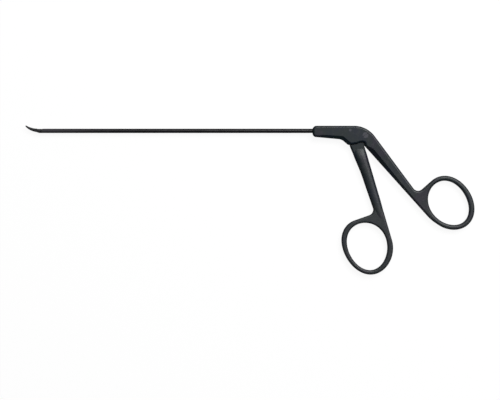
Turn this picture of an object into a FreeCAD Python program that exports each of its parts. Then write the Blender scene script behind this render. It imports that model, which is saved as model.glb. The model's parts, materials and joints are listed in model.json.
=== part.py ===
import FreeCAD, Part
import math
import os

# Laryngeal micro scissors, lying on one side. Millimetres.
# While it is modelled, the shaft axis is the X axis and the front face of the nose is at x = 0.
# +X runs from the blades to the handles, and +Z is the side that faces up when the scissors lie down.
# The handles are shown closed. Every piece is moved to the base frame when it is written.

# Shaft tube and the rod inside it
working_length = 200.0
tube_diameter = 3.0
tube_bore = 2.1
tube_end_setback = 8.64
rod_diameter = 1.3

# Fits
running_gap = 0.03
seat_gap = 0.01

# Body and rear handle, one forging
body_thickness = 7.2
nose_top = 3.46
nose_bottom = 4.05
nose_corner = 2.6
belly_x = 20.2
belly_y = -5.87
belly_radius = 6.0
shoulder_radius = 17.9
cheek_corner_x = 25.0
cheek_corner_y = -9.85
cheek_step_x = 33.0
cheek_step = 1.8
cheek_edge_y = -8.05
rear_left_x = 36.85
rear_left_y = -11.08
rear_left_angle = -48.2
rear_outer_x = 43.1
rear_outer_y = -3.72
rear_outer_angle = -53.3
rear_edge_round = 1.5
merge_radius = 60.0
crotch_back = 0.6
crotch_radius = 3.0
cheek_radius = 1.2
cheek_step_radius = 3.0
nose_bevel_width = 2.2
nose_bevel_depth = 1.4
shank_bevel_width = 3.0
shank_bevel_depth = 2.0
shank_bevel_length = 85.0
face_skim = 0.01
rod_chamber_depth = 1.7

# Pivot of the front handle and its screw
pivot_x = 36.64
lever_arm = 3.06
handle_opening = 16.0
pivot_diameter = 2.4
pivot_thread_diameter = 2.0
pivot_head_diameter = 4.0
pivot_head_height = 0.9
driver_slot_width = 0.5
driver_slot_depth = 0.5
driver_slot_angle = 35.0
screw_end_inset = 0.3

# Front handle
lever_thickness = 3.0
lever_boss_radius = 2.4
lever_boss_room = 0.2
ear_rise = 0.95
front_axis = -73.4
front_left_x = 25.47
front_left_y = -9.7
front_bend_x = 33.6
front_bend_y = -29.2
front_left_angle = -70.9
front_right_x = 36.15
front_right_y = -10.8
front_edge_round = 1.3
front_bend_radius = 120.0
front_shoulder_radius = 0.9
front_heel = (-0.5, 1.6)
front_heel_radius = 1.4

# Oval sections down the front shank: distance from the pivot, half thickness, and how far in from the edges
front_shank_squareness = 0.84
front_shank_sections = [
    (7.0, 1.2, 0.65),
    (9.5, 1.95, 0.1),
    (12.5, 2.5, -0.08),
    (18.0, 2.75, -0.1),
    (24.2, 2.75, -0.1),
    (32.0, 2.65, -0.1),
    (42.0, 2.5, -0.1),
    (50.0, 2.35, -0.08),
    (56.0, 2.15, 0.3),
    (62.0, 1.7, 0.9),
]
slot_side_gap = 0.1
stop_gap = 0.06

# How thick the handles are along their shanks: distances from the pivot, and half thicknesses where they are given
rear_full_stations = (-60, -30, -10, 4, 14)
rear_thinning = [(34, 2.85), (62, 2.2)]
rear_ring_stations = (72, 84, 100, 140)
front_waist_stations = (-60, -40, 0, 10, 30, 42)
front_waist_skim = 0.05
front_step_station = 50
front_step = 0.2
front_ring_stations = (58, 66, 85, 140)

# Finger rings: the hole is an egg-shaped oval, and the outside is a second one round it
ring_thickness = 4.0
ring_wall = 3.4
front_ring_x = 38.43
front_ring_y = -80.36
front_hole_half_length = 16.75
front_hole_half_width = 13.71
front_hole_tilt = -70.1
front_hole_lean = -1.19
front_hole_tuck = -0.86
rear_ring_x = 94.66
rear_ring_y = -50.65
rear_hole_half_length = 16.5
rear_hole_half_width = 12.89
rear_hole_tilt = -54.7
rear_hole_lean = -1.0
rear_hole_tuck = 0.7
ring_corner_radius = 4.1
front_web_end = -187.0
rear_web_end = 186.0
rear_merge_end = -66.0

# Rod end in the handle slot
cross_pin_diameter = 1.0
ear_wall = 0.6
eye_radius = 1.05
eye_thickness = 1.6
rod_end_diameter = 2.4
rod_end_length = 2.9
lock_nut_width = 2.3
lock_nut_length = 1.0
barrel_ear_gap = 0.4
barrel_bore_inset = 0.6
rod_end_room = 0.1
eye_floor_gap = 0.2
rod_chamber_gap = 1.6

# Pins that hold the tube in the nose
tube_pin_diameter = 1.9
tube_pin_inset = 1.95
tube_pin_height = 0.4
tube_pin_end_gap = 0.1

# Blades
blade_reach = 12.2
blade_plate = 0.7
blade_tip_plate = 0.4
blade_pivot_setback = 8.8
blade_pivot_drop = 0.6
blade_pin_diameter = 0.6
blade_pin_half_length = 1.34
link_arm = 1.05
link_pin_diameter = 0.5
tongue_thickness = 0.6
tongue_side_gap = 0.05
tongue_start = 10.4
tongue_back = 10.95
head_spigot_length = 5.0
head_rod_room = 10.25
tail_room_start = 6.0
tail_room_low = -1.18
tongue_room_start = 7.65
tongue_room_low = -0.18

# Window in the side of the blade head
window_width = 1.0
window_low = -1.1
window_high = 1.4
window_floor = 0.2
window_lean = -38.0
window_back = 1.2
window_rise = 0.3

# Front of the blade head: distance back from the tip, and height over the shaft axis
head_top_back = 8.2
head_front = [(7.6, 0.9), (7.3, -0.45), (8.0, -0.9)]
head_low_back = 9.6

# Plan taper of the blades: distances back from the tip
taper_start = 9.4
taper_knee = 6.6
taper_knee_skim = 0.05

# Arcs of the blades: distance back from the tip, and height over the shaft axis
fixed_blade_low = [(8.2, -0.85), (3.5, 0.42), (0.1, 2.9)]
fixed_blade_high = [(0.2, 3.3), (3.6, 1.3), (8.2, 0.6)]
moving_blade_low = [(8.0, -0.05), (3.5, 0.95), (0.02, 3.2)]
moving_blade_high = [(0.3, 3.9), (4.1, 2.18), (8.0, 1.56)]

# Values that follow from the ones above
half_body = body_thickness / 2
tube_socket_depth = pivot_x - tube_end_setback
tube_pin_x = tube_socket_depth - tube_pin_inset
rod_chamber_x = tube_socket_depth + rod_chamber_gap
half_lever = lever_thickness / 2
half_slot = half_lever + slot_side_gap
half_swing = math.radians(handle_opening) / 2
rod_travel = 2 * lever_arm * math.tan(half_swing)
blade_opening = 2 * math.degrees(math.asin(rod_travel / (2 * link_arm)))
pivot = FreeCAD.Vector(pivot_x, -lever_arm, 0)
blade_tip_x = -working_length
tube_end_x = blade_tip_x + blade_reach
blade_pivot = FreeCAD.Vector(blade_tip_x + blade_pivot_setback, -blade_pivot_drop, 0)
far = 400.0


def vec(x, y, z=0.0):
    return FreeCAD.Vector(x, y, z)


def heading(degrees):
    """Unit vector in the plan, at an angle from +X."""
    return vec(math.cos(math.radians(degrees)), math.sin(math.radians(degrees)))


def turned(point, centre, degrees):
    """The point, turned clockwise about a centre as seen from +Z, which is the opening direction."""
    placed = FreeCAD.Rotation(vec(0, 0, 1), -degrees).multVec(point - centre)
    return centre + placed


def meeting(point_a, way_a, point_b, way_b):
    """Where two lines in the plan cross."""
    gap = point_b - point_a
    reach = (gap.x * way_b.y - gap.y * way_b.x) / (way_a.x * way_b.y - way_a.y * way_b.x)
    return point_a + way_a * reach


def tangent_point(point, centre, radius, side):
    """Where a line from a point touches a circle, on its left (+1) or right (-1) side."""
    gap = centre - point
    lean = math.degrees(math.asin(radius / gap.Length))
    angle = math.degrees(math.atan2(gap.y, gap.x)) + side * lean
    return centre + heading(angle + side * 90) * radius


def rounded_path(corners, closed=True):
    """Edges through (point, radius) corners: straight runs joined by tangent arcs."""
    points = [point for point, radius in corners]
    radii = [radius for point, radius in corners]
    count = len(points)
    ends = []
    for i in range(count):
        if not closed and i in (0, count - 1):
            ends.append((points[i], None, points[i]))
            continue
        before = points[i - 1] - points[i]
        after = points[(i + 1) % count] - points[i]
        if radii[i] == 0:
            ends.append((points[i], None, points[i]))
            continue
        half_turn = (math.pi - before.getAngle(after)) / 2
        reach = min(radii[i] * math.tan(half_turn), 0.49 * before.Length, 0.49 * after.Length)
        radius = reach / math.tan(half_turn)
        before.normalize()
        after.normalize()
        inward = (before + after).normalize()
        middle = points[i] + inward * (radius / math.cos(half_turn) - radius)
        ends.append((points[i] + before * reach, middle, points[i] + after * reach))
    edges = []
    for i in range(count):
        start, middle, stop = ends[i]
        if middle is not None:
            edges.append(Part.Arc(start, middle, stop).toShape())
        if closed or i < count - 1:
            following = ends[(i + 1) % count][0]
            if stop.distanceToPoint(following) > 1e-6:
                edges.append(Part.LineSegment(stop, following).toShape())
    return edges


def edge_end(edge, parameter):
    """Point and heading of an edge at one of its ends."""
    return edge.valueAt(parameter), edge.tangentAt(parameter)


def slab(edges, low, high):
    """A plan outline made solid between two heights."""
    face = Part.Face(Part.Wire(Part.__sortEdges__(edges)))
    face.translate(vec(0, 0, low))
    return face.extrude(vec(0, 0, high - low))


def plate(corners, low, high):
    return slab(rounded_path(corners), low, high)


def sharp(*points):
    """Corners with no rounding, from (x, y) pairs."""
    return [(vec(x, y), 0) for x, y in points]


def rod_x(start, stop, diameter):
    return Part.makeCylinder(diameter / 2, stop - start, vec(start, 0, 0), vec(1, 0, 0))


def pin_z(centre, diameter, low, high):
    return Part.makeCylinder(diameter / 2, high - low, vec(centre.x, centre.y, low))


def box(low, high):
    size = vec(*high) - vec(*low)
    return Part.makeBox(size.x, size.y, size.z, vec(*low))


class Oval:
    """Egg-shaped oval: half_length along its tilt, with its widest place moved by lean and tuck."""

    def __init__(self, centre, half_length, half_width, tilt, lean, tuck):
        self.centre = centre
        self.half_length = half_length
        self.half_width = half_width
        self.tilt = tilt
        self.lean = lean
        self.tuck = tuck

    def point(self, degrees):
        t = math.radians(degrees)
        along = self.half_length * math.cos(t) + self.lean * math.sin(t) ** 2
        across = self.half_width * math.sin(t) + self.tuck * math.cos(t) ** 2
        return self.centre + heading(self.tilt) * along + heading(self.tilt + 90) * across

    def arc(self, start, stop, count=12):
        """Part of the oval from one parameter down to another, as an edge whose first end is the lower one."""
        rest = count // 2
        degrees = [stop + (start - stop) * i / count for i in range(count)]
        degrees += [start + (360 - start + stop) * i / rest for i in range(rest)]
        curve = Part.BSplineCurve()
        curve.interpolate(Points=[self.point(angle) for angle in degrees], PeriodicFlag=True)
        return curve.toShape(curve.FirstParameter, curve.parameter(self.point(start)))

    def touch(self, point, start, stop):
        """Parameter between two others where a line from a point just touches the oval."""
        while abs(stop - start) > 1e-6:
            middle = (start + stop) / 2
            step = self.point(middle + 0.01) - self.point(middle - 0.01)
            if step.cross(self.point(middle) - point).z > 0:
                stop = middle
            else:
                start = middle
        return start

    def loop(self, count=16):
        curve = Part.BSplineCurve()
        curve.interpolate(Points=[self.point(360 * i / count) for i in range(count)], PeriodicFlag=True)
        return [curve.toShape()]


def ring_outside(hole, offset, turn, lean, tuck):
    """The oval round a ring's hole, a wall away, a little off its centre and turned against it."""
    half_length = hole.half_length + ring_wall
    half_width = hole.half_width + ring_wall
    return Oval(hole.centre + offset, half_length, half_width, hole.tilt + turn, lean, tuck)


front_hole = Oval(
    vec(front_ring_x, front_ring_y),
    front_hole_half_length,
    front_hole_half_width,
    front_hole_tilt,
    front_hole_lean,
    front_hole_tuck,
)
front_outside = ring_outside(front_hole, offset=vec(0.08, 0.35), turn=10.3, lean=0.14, tuck=-1.65)
rear_hole = Oval(
    vec(rear_ring_x, rear_ring_y),
    rear_hole_half_length,
    rear_hole_half_width,
    rear_hole_tilt,
    rear_hole_lean,
    rear_hole_tuck,
)
rear_outside = ring_outside(rear_hole, offset=vec(0.36, 0.18), turn=-1.0, lean=-0.19, tuck=0.8)

# Edges of the two shanks: a point on each and its heading
front_left_point = vec(front_left_x, front_left_y)
front_left_bend = vec(front_bend_x, front_bend_y)
front_left_way = heading(front_left_angle)
front_right_point = vec(front_right_x, front_right_y)
front_right_touch = front_outside.touch(front_right_point, 30.0, 90.0)
front_right_way = (front_outside.point(front_right_touch) - front_right_point).normalize()
rear_left_point = vec(rear_left_x, rear_left_y)
rear_left_way = heading(rear_left_angle)
rear_outer_way = heading(rear_outer_angle)


def thickness_block(stations, angle):
    """Everything within a smooth half thickness, from (distance from the pivot, half thickness) pairs."""
    edges = []
    for side in (1, -1):
        curve = Part.BSplineCurve()
        curve.buildFromPoles([vec(s, 0, side * half) for s, half in stations], False, 3)
        edges.append(curve.toShape())
    for s, half in (stations[0], stations[-1]):
        edges.append(Part.LineSegment(vec(s, 0, -half), vec(s, 0, half)).toShape())
    face = Part.Face(Part.Wire(Part.__sortEdges__(edges)))
    face.translate(vec(0, -far, 0))
    block = face.extrude(vec(0, 2 * far, 0))
    block.rotate(vec(0, 0, 0), vec(0, 0, 1), angle)
    block.translate(pivot)
    return block


def rounded_grip(edges, hole, stations, angle, radius):
    """A handle: its plan outline at its changing thickness, with a ring hole and rounded edges."""
    grip = slab(edges, -body_thickness, body_thickness).cut(slab(hole.loop(), -far, far))
    grip = grip.common(thickness_block(stations, angle))
    rims = [edge for edge in grip.Edges if abs(edge.tangentAt(edge.FirstParameter).z) < 0.9]
    rims = [edge for edge in rims if abs(edge.CenterOfMass.z) > 0.5]
    return grip.makeFillet(radius, rims)


def bevel(stations):
    """Wedges that slope an edge on both sides.

    Each station is an edge point, the way inward, and the slope's width, half thickness and depth.
    """
    wedge = []
    for side in (1, -1):
        sections = []
        for point, inward, width, half, depth in stations:
            inner = point + inward * (1.5 * width) + vec(0, 0, side * (half + 0.5 * depth))
            outer = point - inward * (0.5 * width) + vec(0, 0, side * (half - 1.5 * depth))
            corner = point - inward * (0.5 * width) + vec(0, 0, side * (half + 0.5 * depth))
            sections.append(Part.makePolygon([inner, outer, corner, inner]))
        wedge.append(Part.makeLoft(sections, True, True))
    return wedge


def nose_bevel():
    """Slope along the lower edge of the nose, the belly and the cheek's front."""
    start = vec(1.0, -nose_bottom)
    belly = vec(belly_x, belly_y)
    cheek = vec(cheek_corner_x, cheek_corner_y)
    first = heading(math.degrees(math.atan2(belly.y - start.y, belly.x - start.x)) + 90)
    last = heading(math.degrees(math.atan2(cheek.y - belly.y, cheek.x - belly.x)) + 90)
    bisector = (first + last).normalize()
    miter = bisector * (1 / bisector.dot(first))
    fade_end = start + (belly - start) * 0.3
    return bevel(
        [
            (start, first, 0.05 * nose_bevel_width, half_body, 0.05 * nose_bevel_depth),
            (fade_end, first, 0.8 * nose_bevel_width, half_body, 0.8 * nose_bevel_depth),
            (belly, miter, nose_bevel_width, half_body, nose_bevel_depth),
            (cheek, last, nose_bevel_width, half_body, nose_bevel_depth),
            (cheek + (cheek - belly) * 0.4, last, nose_bevel_width, half_body, nose_bevel_depth),
        ]
    )


def shank_bevel():
    """Slope along the rear shank's edge that faces the front handle, narrower as the shank thins."""
    inward = heading(rear_left_angle + 90)
    start = rear_left_point - rear_left_way * 2.5
    full = rear_left_point + rear_left_way * 4.5
    stop = rear_left_point + rear_left_way * shank_bevel_length
    return bevel(
        [
            (start, inward, 0.1 * shank_bevel_width, half_body, 0.1 * shank_bevel_depth),
            (full, inward, shank_bevel_width, half_body, shank_bevel_depth),
            (stop, inward, shank_bevel_width, half_body, shank_bevel_depth),
        ]
    )


def body_outline():
    """Nose, cheeks, rear shank and the outside of the rear ring."""
    ring = rear_outside.arc(rear_web_end, rear_merge_end)
    low_point, low_way = edge_end(ring, ring.FirstParameter)
    web_point, web_way = edge_end(ring, ring.LastParameter)
    shoulder = meeting(vec(rear_outer_x, rear_outer_y), rear_outer_way, vec(0, nose_top), heading(0))
    web = meeting(shoulder, rear_outer_way, web_point, web_way)
    merge = meeting(rear_left_point, rear_left_way, low_point, low_way)
    crotch = rear_left_point - rear_left_way * crotch_back
    corners = [
        (low_point, 0),
        (merge, merge_radius),
        (crotch, crotch_radius),
        (vec(crotch.x - 0.3, cheek_edge_y), cheek_radius),
        (vec(cheek_step_x, cheek_edge_y), cheek_step_radius),
        (vec(cheek_step_x - cheek_step, cheek_edge_y - cheek_step / 2), cheek_step_radius),
        (vec(cheek_corner_x, cheek_corner_y), cheek_radius),
        (vec(belly_x, belly_y), belly_radius),
        (vec(0, -nose_bottom), nose_corner),
        (vec(0, nose_top), nose_corner),
        (shoulder, shoulder_radius),
        (web, ring_corner_radius),
        (web_point, 0),
    ]
    return rounded_path(corners, closed=False) + [ring]


def handle_slot():
    """The slot that the lever swings in, from its closed stop to its open stop, and over the rod end."""
    boss = lever_boss_radius + lever_boss_room
    open_swing = handle_opening + math.degrees(stop_gap / lever_arm)
    front_low = front_left_point + front_left_way * 6
    front_touch = tangent_point(front_left_point, pivot, lever_boss_radius, 1)
    rear_touch = tangent_point(front_right_point, pivot, lever_boss_radius, -1)
    swept = plate(
        [
            (turned(front_low, pivot, open_swing), 0),
            (turned(front_left_point, pivot, open_swing), 0),
            (turned(front_touch, pivot, open_swing), 0),
            (pivot, 0),
            (rear_touch + vec(stop_gap, 0), 0),
            (front_right_point + vec(stop_gap, 0), 0),
            (front_right_point + front_right_way * 8 + vec(stop_gap, 0), 0),
        ],
        -half_slot,
        half_slot,
    )
    chamber = box((rod_chamber_x, -rod_chamber_depth, -half_slot), (pivot_x + 8, nose_top + 5, half_slot))
    return swept.fuse([pin_z(pivot, 2 * boss, -half_slot, half_slot), chamber])


def make_handle_body():
    half_ring = ring_thickness / 2
    stations = [(s, half_body + face_skim) for s in rear_full_stations]
    stations += rear_thinning
    stations += [(s, half_ring) for s in rear_ring_stations]
    grip = rounded_grip(body_outline(), rear_hole, stations, rear_left_angle, rear_edge_round)
    grip = grip.common(box((-far, -far, -half_body), (far, far, half_body)))
    grip = grip.cut(nose_bevel() + shank_bevel())
    rod_guide = rod_x(-1, rod_chamber_x + 1, rod_diameter + 4 * running_gap)
    socket = rod_x(-1, tube_socket_depth + seat_gap, tube_diameter + 2 * seat_gap)
    pin_centre = vec(tube_pin_x, tube_pin_height)
    pin_hole = pin_z(pin_centre, tube_pin_diameter + 2 * seat_gap, -far, far)
    pivot_hole = pin_z(pivot, pivot_diameter + 2 * seat_gap, -half_lever, far)
    thread_hole = pin_z(pivot, pivot_thread_diameter + 2 * seat_gap, -far, 0)
    return grip.cut([handle_slot(), rod_guide, socket, pin_hole, pivot_hole, thread_hole, screw_seat(seat_gap)])


def screw_seat(gap):
    """Cone under the head of the pivot screw."""
    head = pivot_head_diameter / 2 + gap
    neck = pivot_diameter / 2 + gap
    cone = Part.makeCone(neck, head, pivot_head_height, vec(pivot.x, pivot.y, half_body - pivot_head_height))
    return cone.fuse(pin_z(pivot, 2 * head, half_body, half_body + 1))


def make_pivot_screw():
    head = screw_seat(0).cut(pin_z(pivot, far, half_body + 0.02, far))
    neck = pin_z(pivot, pivot_diameter, -half_lever, half_body - pivot_head_height / 2)
    thread = pin_z(pivot, pivot_thread_diameter, screw_end_inset - half_body, 0)
    half_width = driver_slot_width / 2
    low = half_body - driver_slot_depth
    driver_slot = box((-far, -half_width, low), (far, half_width, far))
    driver_slot.rotate(vec(0, 0, 0), vec(0, 0, 1), driver_slot_angle)
    driver_slot.translate(pivot)
    return head.fuse([neck, thread]).cut(driver_slot)


def front_outline():
    """Front shank, from inside the cheeks, and the outside of its ring."""
    ring = front_outside.arc(front_right_touch, front_web_end)
    web_point, web_way = edge_end(ring, ring.FirstParameter)
    right_point, right_way = edge_end(ring, ring.LastParameter)
    web = meeting(front_left_bend, front_left_way, web_point, web_way)
    corners = [
        (web_point, 0),
        (web, ring_corner_radius),
        (front_left_bend, front_bend_radius),
        (front_left_point, front_shoulder_radius),
        (front_right_point + vec(*front_heel), front_heel_radius),
        (right_point, 0),
    ]
    return rounded_path(corners, closed=False) + [ring]


def edge_offset(point, way, distance):
    """How far an edge is to the right of the line down the front shank, at a distance from the pivot."""
    along = heading(front_axis)
    across = heading(front_axis + 90)
    gap = point - pivot
    reach = (distance - gap.dot(along)) / way.dot(along)
    return gap.dot(across) + way.dot(across) * reach


def front_shank():
    """Oval shank from inside the cheeks down into the web over the ring."""
    upper_way = (front_left_bend - front_left_point).normalize()
    sections = []
    for distance, half_height, inset in front_shank_sections:
        right = edge_offset(front_right_point, front_right_way, distance) - inset
        upper = edge_offset(front_left_bend, upper_way, distance)
        left = min(upper, edge_offset(front_left_bend, front_left_way, distance)) + inset
        middle = (left + right) / 2
        half_width = (right - left) / 2
        points = []
        for i in range(16):
            turn = math.radians(22.5 * i)
            across = math.copysign(abs(math.cos(turn)) ** front_shank_squareness, math.cos(turn))
            up = math.copysign(abs(math.sin(turn)) ** front_shank_squareness, math.sin(turn))
            points.append(vec(distance, middle + half_width * across, half_height * up))
        curve = Part.BSplineCurve()
        curve.interpolate(Points=points, PeriodicFlag=True)
        sections.append(Part.Wire(curve.toShape()))
    shank = Part.makeLoft(sections, True, False)
    shank.rotate(vec(0, 0, 0), vec(0, 0, 1), front_axis)
    shank.translate(pivot)
    return shank


def make_front_handle():
    half_ring = ring_thickness / 2
    stations = [(s, half_lever - front_waist_skim) for s in front_waist_stations]
    stations += [(front_step_station, half_ring - front_step)]
    stations += [(s, half_ring) for s in front_ring_stations]
    grip = rounded_grip(front_outline(), front_hole, stations, front_axis, front_edge_round)
    grip = grip.fuse(front_shank())
    front_touch = tangent_point(front_left_point, pivot, lever_boss_radius, 1)
    rear_touch = tangent_point(front_right_point, pivot, lever_boss_radius, -1)
    inner_right = front_right_point + front_right_way * 3 + vec(-3, 0)
    inner_left = front_left_point + front_left_way * 3 + vec(3, 0)
    arm = plate(
        [
            (inner_left, 0),
            (front_left_point, 0),
            (front_touch, 0),
            (pivot, 0),
            (rear_touch, 0),
            (front_right_point, 0),
            (inner_right, 0),
        ],
        -half_lever,
        half_lever,
    )
    boss = pin_z(pivot, 2 * lever_boss_radius, -half_lever, half_lever)
    ears = yoke_ears()
    channel_floor = eye_channel()
    handle = grip.fuse([arm, boss, ears]).cut(channel_floor)
    return handle.cut(pin_z(pivot, pivot_diameter + 2 * running_gap, -far, far))


def cross_pin_centre():
    return vec(pivot_x - lever_arm * math.tan(half_swing), 0)


def yoke_ears():
    """Two ears above the boss, with an open slot that drives the rod's cross pin."""
    pin_radius = cross_pin_diameter / 2
    half_width = pin_radius + ear_wall
    top = lever_arm + ear_rise
    mouth = pin_radius + running_gap
    floor = lever_arm - pin_radius - running_gap
    ears = box((-half_width, 0, -half_lever), (half_width, top, half_lever))
    mouth_cut = box((-mouth, floor, -far), (mouth, far, far))
    ears = ears.cut(mouth_cut)
    ears.rotate(vec(0, 0, 0), vec(0, 0, 1), math.degrees(half_swing))
    ears.translate(pivot)
    return ears


def eye_channel():
    """Room between the ears for the rod end, down to a round floor about the pivot."""
    half_gap = eye_thickness / 2 + slot_side_gap
    floor_radius = lever_arm - eye_radius - eye_floor_gap
    room = box((pivot_x - 6, -lever_arm, -half_gap), (pivot_x + 6, nose_top + 5, half_gap))
    return room.cut(pin_z(pivot, 2 * floor_radius, -far, far))


def make_rod_end():
    """Barrel on the threaded end of the rod, flattened to an eye for the cross pin."""
    centre = cross_pin_centre()
    barrel = rod_x(rod_end_face(), barrel_end(), rod_end_diameter)
    half = eye_thickness / 2
    eye = pin_z(centre, 2 * eye_radius, -half, half)
    neck = box((barrel_end() - 0.5, -eye_radius, -half), (centre.x, eye_radius, half))
    bore = rod_x(rod_end_face() - 1, barrel_end() - barrel_bore_inset, rod_diameter + 2 * seat_gap)
    pin_hole = pin_z(centre, cross_pin_diameter + 2 * seat_gap, -far, far)
    return barrel.fuse([neck, eye]).cut([bore, pin_hole])


def barrel_end():
    """Back face of the rod end's barrel, clear of the ears."""
    return cross_pin_centre().x - cross_pin_diameter / 2 - ear_wall - barrel_ear_gap


def rod_end_face():
    return barrel_end() - rod_end_length


def make_lock_nut():
    """Hexagonal nut that locks the rod end on the rod."""
    across_corners = lock_nut_width / math.cos(math.pi / 6)
    corners = [heading(60 * i) * (across_corners / 2) for i in range(6)]
    points = [vec(0, corner.x, corner.y) for corner in corners]
    face = Part.Face(Part.makePolygon(points + points[:1]))
    nut = face.extrude(vec(lock_nut_length, 0, 0))
    nut.translate(vec(rod_end_face() - lock_nut_length, 0, 0))
    return nut.cut(rod_x(-far, far, rod_diameter + 2 * seat_gap))


def make_cross_pin():
    return pin_z(cross_pin_centre(), cross_pin_diameter, -half_lever, half_lever)


def make_outer_tube():
    tube = rod_x(tube_end_x, tube_socket_depth, tube_diameter)
    bore = rod_x(tube_end_x - 1, tube_socket_depth + 1, tube_bore)
    pin_centre = vec(tube_pin_x, tube_pin_height)
    return tube.cut([bore, pin_z(pin_centre, tube_pin_diameter + 2 * seat_gap, -far, far)])


def make_tube_pins():
    """Two short pins, one from each side of the nose, whose ends sit in the tube's wall."""
    inner = tube_bore / 2 + tube_pin_end_gap
    centre = vec(tube_pin_x, tube_pin_height)
    near = pin_z(centre, tube_pin_diameter, inner, half_body)
    return Part.makeCompound([near, near.mirror(vec(0, 0, 0), vec(0, 0, 1))])


def arc_edge(*points):
    return Part.Arc(*[vec(*point) for point in points]).toShape()


def line_edge(start, stop):
    return Part.LineSegment(vec(*start), vec(*stop)).toShape()


def blade_plan(low_arc, high_arc):
    """A blade's side outline, from its lower and its upper arc."""
    low = [(blade_tip_x + x, y) for x, y in low_arc]
    high = [(blade_tip_x + x, y) for x, y in high_arc]
    return [arc_edge(*low), line_edge(low[2], high[0]), arc_edge(*high), line_edge(high[2], low[0])]


def blade_taper():
    """Plan taper that brings the blade head down to thin tips, as seen from above the cutting edges."""
    radius = tube_diameter / 2
    points = [
        (tube_end_x + 1, radius),
        (blade_tip_x + taper_start, radius),
        (blade_tip_x + taper_knee, blade_plate + taper_knee_skim),
        (blade_tip_x - 1, blade_tip_plate),
    ]
    upper = [vec(x, -far, z) for x, z in points]
    lower = [vec(x, -far, -z) for x, z in reversed(points)]
    face = Part.Face(Part.makePolygon(upper + lower + upper[:1]))
    return face.extrude(vec(0, 2 * far, 0))


def make_fixed_blade():
    """Blade head brazed in the tube: a fork for the moving blade, and the fixed blade on its far side."""
    radius = tube_diameter / 2
    back = tube_end_x - 0.25
    tip = blade_tip_x
    round_head = rod_x(tip + 5, tube_end_x - seat_gap, tube_diameter)
    front = [(tip + back_from_tip, height) for back_from_tip, height in head_front]
    front = [(tip + head_top_back, radius), *front, (tip + head_low_back, -radius)]
    head_plan = plate(sharp((tube_end_x, -radius), (tube_end_x, radius), *front), -radius, radius)
    head = round_head.common(head_plan)
    blade = slab(
        blade_plan(fixed_blade_low, fixed_blade_high),
        -blade_plate,
        0,
    )
    solid = head.fuse(blade).common(blade_taper())
    spigot = rod_x(back - 0.5, tube_end_x + head_spigot_length, tube_bore - 2 * seat_gap)
    solid = solid.fuse(spigot.common(box((tube_end_x - 0.1, -far, -far), (far, far, far))))
    tail_room = box((tip + tail_room_start, tail_room_low, 0), (back, far, blade_plate))
    tongue_room = box((tip + tongue_room_start, tongue_room_low, -blade_plate), (back, far, 0))
    rod_bore = rod_x(tip + head_rod_room, far, rod_diameter + 4 * running_gap)
    window = box((-window_width / 2, window_low, window_floor), (window_width / 2, window_high, far))
    window.rotate(vec(0, 0, 0), vec(0, 0, 1), window_lean)
    window.translate(vec(tube_end_x - window_back, window_rise, 0))
    pin_hole = pin_z(blade_pivot, blade_pin_diameter + 2 * seat_gap, -far, far)
    return solid.cut([tail_room, tongue_room, rod_bore, window, pin_hole])


def link_pin_centre():
    lean = math.radians(blade_opening) / 2
    return blade_pivot + vec(-link_arm * math.sin(lean), link_arm * math.cos(lean))


def make_moving_blade():
    centre = link_pin_centre()
    low = running_gap
    high = blade_plate - running_gap
    blade = slab(
        blade_plan(moving_blade_low, moving_blade_high),
        low,
        high,
    ).common(blade_taper())
    tail = plate(
        [
            (blade_pivot + vec(0.5, -0.5), 0.45),
            (centre + vec(0.95, 0.5), 0.5),
            (vec(blade_tip_x + 8.0, 1.5), 0.3),
            (vec(blade_tip_x + 7.0, 1.45), 0),
            (vec(blade_tip_x + 7.0, 0.1), 0),
            (blade_pivot + vec(-0.6, -0.5), 0.45),
        ],
        low,
        high,
    )
    pivot_hole = pin_z(blade_pivot, blade_pin_diameter + 2 * running_gap, -far, far)
    link_hole = pin_z(centre, link_pin_diameter + 2 * seat_gap, -far, far)
    return blade.fuse(tail).cut([pivot_hole, link_hole])


def make_blade_pin():
    return pin_z(blade_pivot, blade_pin_diameter, -blade_pin_half_length, blade_pin_half_length)


def make_link_pin():
    low = -tongue_side_gap - tongue_thickness
    return pin_z(link_pin_centre(), link_pin_diameter, low, blade_plate - running_gap)


def make_drive_rod():
    """Rod with its front end flattened to a tongue, whose upright slot takes the link pin."""
    centre = link_pin_centre()
    half_width = link_pin_diameter / 2 + running_gap
    rise = link_arm * (1 - math.cos(math.radians(blade_opening) / 2))
    round_start = blade_tip_x + tongue_start
    root = blade_tip_x + tongue_back
    shank = rod_x(round_start, barrel_end() - barrel_bore_inset - rod_end_room, rod_diameter)
    low = -tongue_side_gap - tongue_thickness
    tongue = plate(
        [
            (centre + vec(-0.55, -0.47), 0.15),
            (centre + vec(-0.55, 0.6), 0.35),
            (centre + vec(0.75, 0.6), 0.3),
            (vec(round_start, rod_diameter / 2 - 0.1), 0.2),
            (vec(root, rod_diameter / 2 - 0.15), 0),
            (vec(root, -0.12), 0),
        ],
        low,
        -tongue_side_gap,
    )
    slot_low = centre.y - half_width
    slot_high = centre.y + rise + half_width
    slot = box((centre.x - half_width, slot_low, -far), (centre.x + half_width, slot_high, far))
    return shank.fuse(tongue).cut(slot)


pieces = {
    "handle_body": make_handle_body(),
    "front_handle": make_front_handle(),
    "pivot_screw": make_pivot_screw(),
    "outer_tube": make_outer_tube(),
    "tube_pins": make_tube_pins(),
    "fixed_blade": make_fixed_blade(),
    "moving_blade": make_moving_blade(),
    "blade_pin": make_blade_pin(),
    "link_pin": make_link_pin(),
    "drive_rod": make_drive_rod(),
    "rod_end": make_rod_end(),
    "rod_lock_nut": make_lock_nut(),
    "rod_cross_pin": make_cross_pin(),
}

# The base frame has its origin under the middle of the whole object, on the surface that it lies on
everything = Part.makeCompound(list(pieces.values()))
bounds = everything.optimalBoundingBox(False)
base_shift = vec(-(bounds.XMin + bounds.XMax) / 2, -(bounds.YMin + bounds.YMax) / 2, half_body)

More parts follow.
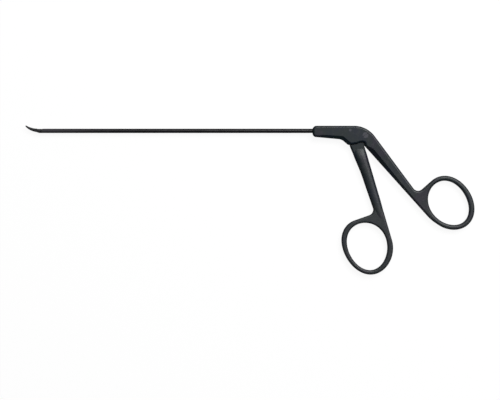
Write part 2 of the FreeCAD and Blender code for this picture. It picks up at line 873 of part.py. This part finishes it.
os.makedirs("parts", exist_ok=True)
for name, shape in pieces.items():
    shape = shape.copy()
    shape.translate(base_shift)
    shape.exportStep("parts/" + name + ".step")
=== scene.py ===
import json

import bpy
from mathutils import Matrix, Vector


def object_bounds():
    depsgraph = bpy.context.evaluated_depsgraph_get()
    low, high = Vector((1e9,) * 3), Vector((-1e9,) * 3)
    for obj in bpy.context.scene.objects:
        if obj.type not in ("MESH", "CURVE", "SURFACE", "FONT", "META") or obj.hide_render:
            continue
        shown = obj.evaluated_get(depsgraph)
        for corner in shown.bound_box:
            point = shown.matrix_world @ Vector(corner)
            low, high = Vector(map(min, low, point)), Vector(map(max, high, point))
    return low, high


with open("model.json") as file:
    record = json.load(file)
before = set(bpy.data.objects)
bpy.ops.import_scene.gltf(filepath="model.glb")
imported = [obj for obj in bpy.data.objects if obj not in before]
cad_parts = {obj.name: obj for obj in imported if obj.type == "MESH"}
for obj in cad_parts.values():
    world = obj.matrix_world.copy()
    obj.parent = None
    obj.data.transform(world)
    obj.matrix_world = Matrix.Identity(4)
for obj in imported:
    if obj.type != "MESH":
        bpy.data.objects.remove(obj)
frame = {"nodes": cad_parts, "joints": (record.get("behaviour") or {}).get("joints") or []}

cad_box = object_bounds()
nodes = frame["nodes"]
pivot = Vector(next(joint["pos_m"] for joint in frame["joints"] if joint["name"] == "handle_pivot"))
tip_x = cad_box[0].x

# Sizes in metres. The object lies on one side, and the camera looks straight down on it.
view_width = 0.34831

# Lens and sensor in millimetres
lens = 120.0
sensor = 36.0

# Middle of the view, from the pivot of the front handle
view_from_pivot = Vector((-0.080216, -0.045094, 0.0))

# The softbox is high over the side away from the rings, towards the handles, and a strip is low on that side.
softbox_size = (0.9, 0.7)
softbox_place = (0.46, 0.6, 1.05)
softbox_power = 16.3
strip_size = (1.6, 0.3)
strip_place = (0.0, 1.1, 0.4)
strip_power = 1.0
light_target = Vector((0.0, 0.0, 0.0))

# The world is grey to the object, and white where the camera sees past the floor.
world_colour = (1.0, 1.0, 1.0, 1.0)
world_level = 0.07
world_to_camera = 1.0

# The floor is white to the camera, with a soft part of the shadow. Glossy surfaces show a share of its white.
floor_half_size = 3.0
floor_glow = 0.925
floor_in_gloss = 0.15
floor_colour = 0.1

# Nearly all of a noise lies in this range.
noise_range = (0.3, 0.7)

# Tints and wear of the coating: the size of each feature, and the range of its noise in which it comes up.
tint_size = 0.014
tint_stops = (0.36, 0.5, 0.64)
scuff_size = 0.0035
scuff_range = (0.54, 0.7)
scuff_share = 0.3
speck_size = 0.0012
speck_range = (0.6, 0.75)
speck_share = 0.15
speck_share_at_edges = 0.3

# Width of the edges, and the cosine of the normal's turn where they begin and where they are full
edge_width = 0.0008
edge_range = (0.98, 0.7)
edge_samples = 6

# Relief of the coating: strength and depth of each layer
wave_size = 0.006
wave_relief = (0.35, 0.00006)
speck_relief = (0.3, 0.00003)
grain_relief = (0.35, 0.000012)

# How strongly the coating mirrors, a little under the 0.5 of plain paint
coat_specular = 0.4

# Colour that grows along an axis: none of it at the start, and a share of the lighter colour at the stop. On
# the handles it is painted light, lighter towards the rings.
handle_painted_light = dict(axis="Y", start=pivot.y - 0.01005, stop=pivot.y - 0.05505, share=0.32)
# The shaft and the blades get lighter towards the tip, and the screw gets lighter along X.
shaft_lighter_to_tip = dict(axis="X", start=tip_x + 0.0614, stop=tip_x + 0.0164, share=0.95)
blade_lighter_to_tip = dict(axis="X", start=tip_x + 0.0164, stop=tip_x + 0.0004, share=0.2)
screw_lighter_along_x = dict(axis="X", start=0.0, stop=0.2, share=0.1)

# Bare steel of the rod end, ground along the rod
steel_line_size = 0.00012
steel_line_stretch = (0.05, 1.0, 1.0)
steel_line_relief = (0.3, 0.000008)
steel_stain_size = 0.004
steel_tints = [(0.3, (0.36, 0.36, 0.37)), (0.7, (0.5, 0.5, 0.51))]
steel_roughness = (0.22, 0.4)

# Sockets of the Mix node that are for colours
mix_share, mix_first, mix_second, mix_result = 0, 6, 7, 2


def bare_material(name):
    material = bpy.data.materials.new(name)
    material.use_nodes = True
    tree = material.node_tree
    tree.nodes.clear()
    return material, tree, tree.nodes.new("ShaderNodeOutputMaterial")


def new_material(name):
    material, tree, output = bare_material(name)
    shader = tree.nodes.new("ShaderNodeBsdfPrincipled")
    tree.links.new(shader.outputs["BSDF"], output.inputs["Surface"])
    return material, tree, shader


def object_coordinates(tree, stretch=(1.0, 1.0, 1.0)):
    """Coordinates in the object's own frame, in metres, squeezed along its axes."""
    source = tree.nodes.new("ShaderNodeTexCoord")
    mapping = tree.nodes.new("ShaderNodeMapping")
    mapping.inputs["Scale"].default_value = stretch
    tree.links.new(source.outputs["Object"], mapping.inputs["Vector"])
    return mapping.outputs["Vector"]


def noise(tree, where, size, detail=3.0, roughness=0.6):
    """Noise whose features are about a given size in metres."""
    node = tree.nodes.new("ShaderNodeTexNoise")
    node.inputs["Scale"].default_value = 1.0 / size
    node.inputs["Detail"].default_value = detail
    node.inputs["Roughness"].default_value = roughness
    tree.links.new(where, node.inputs["Vector"])
    return node.outputs["Fac"]


def ramp(tree, value, stops):
    """Colour ramp through (position, colour) stops."""
    node = tree.nodes.new("ShaderNodeValToRGB")
    for position, _ in stops[1:-1]:
        node.color_ramp.elements.new(position)
    for element, (position, colour) in zip(node.color_ramp.elements, stops):
        element.position = position
        element.color = (*colour, 1.0)
    tree.links.new(value, node.inputs["Fac"])
    return node.outputs["Color"]


def remapped(tree, value, low, high, span=noise_range):
    """Value that goes from low to high while another one crosses a span."""
    node = tree.nodes.new("ShaderNodeMapRange")
    start, stop = span
    node.inputs["From Min"].default_value = start
    node.inputs["From Max"].default_value = stop
    node.inputs["To Min"].default_value = low
    node.inputs["To Max"].default_value = high
    tree.links.new(value, node.inputs["Value"])
    return node.outputs["Result"]


def calculated(tree, operation, *values):
    """Result of one operation on sockets and numbers."""
    node = tree.nodes.new("ShaderNodeMath")
    node.operation = operation
    for socket, value in zip(node.inputs, values):
        if isinstance(value, float):
            socket.default_value = value
        else:
            tree.links.new(value, socket)
    return node.outputs["Value"]


def mixed(tree, share, first, second):
    """Colour between two colours, each a socket or a tuple."""
    node = tree.nodes.new("ShaderNodeMix")
    node.data_type = "RGBA"
    tree.links.new(share, node.inputs[mix_share])
    for socket, colour in ((node.inputs[mix_first], first), (node.inputs[mix_second], second)):
        if isinstance(colour, tuple):
            socket.default_value = (*colour, 1.0)
        else:
            tree.links.new(colour, socket)
    return node.outputs[mix_result]


def bumped(tree, layers):
    """Bump normal from (height, strength, distance in metres) layers, coarse ones first."""
    normal = None
    for height, strength, distance in layers:
        node = tree.nodes.new("ShaderNodeBump")
        node.inputs["Strength"].default_value = strength
        node.inputs["Distance"].default_value = distance
        tree.links.new(height, node.inputs["Height"])
        if normal is not None:
            tree.links.new(normal, node.inputs["Normal"])
        normal = node.outputs["Normal"]
    return normal


def towards_edges(tree, on_faces, at_edges):
    """Value that goes from one on the faces to another at the sharp outer edges."""
    bevel = tree.nodes.new("ShaderNodeBevel")
    bevel.samples = edge_samples
    bevel.inputs["Radius"].default_value = edge_width
    surface = tree.nodes.new("ShaderNodeNewGeometry")
    dot = tree.nodes.new("ShaderNodeVectorMath")
    dot.operation = "DOT_PRODUCT"
    tree.links.new(bevel.outputs["Normal"], dot.inputs[0])
    tree.links.new(surface.outputs["Normal"], dot.inputs[1])
    return remapped(tree, dot.outputs["Value"], on_faces, at_edges, edge_range)


def lightened_along(tree, base, wear_and_painted_light, axis, start, stop, share):
    """Lets a share of a lighter colour grow between two places along an axis."""
    split = tree.nodes.new("ShaderNodeSeparateXYZ")
    tree.links.new(object_coordinates(tree), split.inputs["Vector"])
    return mixed(tree, remapped(tree, split.outputs[axis], 0.0, share, (start, stop)), base, wear_and_painted_light)


def coating(name, tints, wear_and_painted_light, roughness, grain_size, relief, lightening, stretch=(1.0, 1.0, 1.0)):
    """Satin black anti-glare coating, finely grained, that drifts between tints.

    Its lighter colour grows along an axis, which on the handles is painted light, and shows as wear in faint
    scuffs and in specks that are stronger at the edges.
    """
    material, tree, shader = new_material(name)
    where = object_coordinates(tree)
    drift = noise(tree, where, tint_size, roughness=0.55)
    scuffs = noise(tree, where, scuff_size, detail=4.0, roughness=0.65)
    specks = noise(tree, where, speck_size, detail=5.0, roughness=0.7)
    waves = noise(tree, where, wave_size, detail=2.0, roughness=0.5)
    grain = noise(tree, object_coordinates(tree, stretch), grain_size)

    base = ramp(tree, drift, list(zip(tint_stops, tints)))
    # Lighter along an axis; on the handles this is painted light, lighter towards the rings
    base = lightened_along(tree, base, wear_and_painted_light, **lightening)
    base = mixed(tree, remapped(tree, scuffs, 0.0, scuff_share, scuff_range), base, wear_and_painted_light)
    speck_level = towards_edges(tree, speck_share, speck_share_at_edges)
    flecks = calculated(tree, "MULTIPLY", remapped(tree, specks, 0.0, 1.0, speck_range), speck_level)
    base = mixed(tree, flecks, base, wear_and_painted_light)
    tree.links.new(base, shader.inputs["Base Color"])

    tree.links.new(remapped(tree, specks, *roughness), shader.inputs["Roughness"])
    shader.inputs["Specular IOR Level"].default_value = coat_specular
    heights = ((waves, wave_relief), (specks, speck_relief), (grain, grain_relief))
    layers = [(height, strength * relief, depth) for height, (strength, depth) in heights]
    tree.links.new(bumped(tree, layers), shader.inputs["Normal"])
    return material


def ground_steel(name):
    """Bare steel, ground along the rod."""
    material, tree, shader = new_material(name)
    lines = noise(tree, object_coordinates(tree, steel_line_stretch), steel_line_size)
    stain = noise(tree, object_coordinates(tree), steel_stain_size)
    tree.links.new(ramp(tree, stain, steel_tints), shader.inputs["Base Color"])
    tree.links.new(remapped(tree, lines, *steel_roughness), shader.inputs["Roughness"])
    shader.inputs["Metallic"].default_value = 1.0
    tree.links.new(bumped(tree, [(lines, *steel_line_relief)]), shader.inputs["Normal"])
    return material


def dress():
    handle_coat = coating(
        "handle_coat",
        tints=[(0.0025, 0.0080, 0.0190), (0.0045, 0.0120, 0.0135), (0.0095, 0.0085, 0.0205)],
        wear_and_painted_light=(0.053, 0.053, 0.055),
        roughness=(0.40, 0.47),
        grain_size=0.00028,
        relief=0.2,
        # Painted light: lighter towards the rings, which the softbox lights less
        lightening=handle_painted_light,
    )
    shaft_coat = coating(
        "shaft_coat",
        tints=[(0.0035, 0.0032, 0.0060), (0.0035, 0.0032, 0.0045), (0.0050, 0.0042, 0.0075)],
        wear_and_painted_light=(0.040, 0.037, 0.045),
        roughness=(0.34, 0.44),
        grain_size=0.00022,
        relief=0.15,
        lightening=shaft_lighter_to_tip,
        stretch=(0.06, 1.0, 1.0),
    )
    blade_coat = coating(
        "blade_coat",
        tints=[(0.023, 0.024, 0.025), (0.026, 0.027, 0.028), (0.030, 0.030, 0.032)],
        wear_and_painted_light=(0.060, 0.062, 0.063),
        roughness=(0.34, 0.46),
        grain_size=0.00016,
        relief=0.3,
        lightening=blade_lighter_to_tip,
    )
    screw_coat = coating(
        "screw_coat",
        tints=[(0.044, 0.046, 0.061), (0.050, 0.052, 0.067), (0.056, 0.058, 0.074)],
        wear_and_painted_light=(0.100, 0.101, 0.110),
        roughness=(0.40, 0.52),
        grain_size=0.00018,
        relief=0.6,
        lightening=screw_lighter_along_x,
    )
    steel = ground_steel("ground_steel")
    finishes = {
        "handle_body": handle_coat,
        "front_handle": handle_coat,
        "outer_tube": shaft_coat,
        "drive_rod": shaft_coat,
        "fixed_blade": blade_coat,
        "moving_blade": blade_coat,
        "blade_pin": blade_coat,
        "link_pin": blade_coat,
        "pivot_screw": screw_coat,
        "tube_pins": screw_coat,
        "rod_end": steel,
        "rod_lock_nut": steel,
        "rod_cross_pin": steel,
    }
    for name, material in finishes.items():
        for slot in nodes[name].material_slots:
            slot.material = material


def floor_material():
    """White to the camera, with a soft part of the object's shadow."""
    material, tree, output = bare_material("pale_floor")
    plain = tree.nodes.new("ShaderNodeBsdfDiffuse")
    plain.inputs["Color"].default_value = (floor_colour, floor_colour, floor_colour, 1.0)
    path = tree.nodes.new("ShaderNodeLightPath")
    to_gloss, to_camera = path.outputs["Is Glossy Ray"], path.outputs["Is Camera Ray"]
    seen = calculated(tree, "MULTIPLY_ADD", to_gloss, floor_in_gloss, to_camera)
    glow = tree.nodes.new("ShaderNodeEmission")
    tree.links.new(calculated(tree, "MULTIPLY", seen, floor_glow), glow.inputs["Strength"])
    both = tree.nodes.new("ShaderNodeAddShader")
    tree.links.new(plain.outputs["BSDF"], both.inputs[0])
    tree.links.new(glow.outputs["Emission"], both.inputs[1])
    tree.links.new(both.outputs["Shader"], output.inputs["Surface"])
    return material


def make_floor():
    mesh = bpy.data.meshes.new("floor")
    half = floor_half_size
    corners = [(-half, -half, 0.0), (half, -half, 0.0), (half, half, 0.0), (-half, half, 0.0)]
    mesh.from_pydata(corners, [], [(0, 1, 2, 3)])
    mesh.materials.append(floor_material())
    floor = bpy.data.objects.new("floor", mesh)
    bpy.context.scene.collection.objects.link(floor)


def area_light(name, place, size, power):
    data = bpy.data.lights.new(name, "AREA")
    data.shape = "RECTANGLE"
    data.size, data.size_y = size
    data.energy = power
    light = bpy.data.objects.new(name, data)
    light.location = place
    light.rotation_mode = "QUATERNION"
    light.rotation_quaternion = (light_target - Vector(place)).to_track_quat("-Z", "Y")
    bpy.context.scene.collection.objects.link(light)


def make_world():
    world = bpy.data.worlds.new("studio")
    world.use_nodes = True
    tree = world.node_tree
    background = tree.nodes["Background"]
    to_camera = tree.nodes.new("ShaderNodeLightPath").outputs["Is Camera Ray"]
    strength = remapped(tree, to_camera, world_level, world_to_camera, (0.0, 1.0))
    tree.links.new(strength, background.inputs["Strength"])
    background.inputs["Color"].default_value = world_colour
    bpy.context.scene.world = world


def make_camera():
    data = bpy.data.cameras.new("camera")
    data.lens = lens
    data.sensor_width = sensor
    camera = bpy.data.objects.new("camera", data)
    height = Vector((0.0, 0.0, view_width * lens / sensor))
    camera.location = pivot + view_from_pivot + height
    bpy.context.scene.collection.objects.link(camera)
    bpy.context.scene.camera = camera


dress()
make_floor()
area_light("softbox", softbox_place, softbox_size, softbox_power)
area_light("strip", strip_place, strip_size, strip_power)
make_world()
make_camera()
bpy.context.scene.view_settings.view_transform = "Standard"
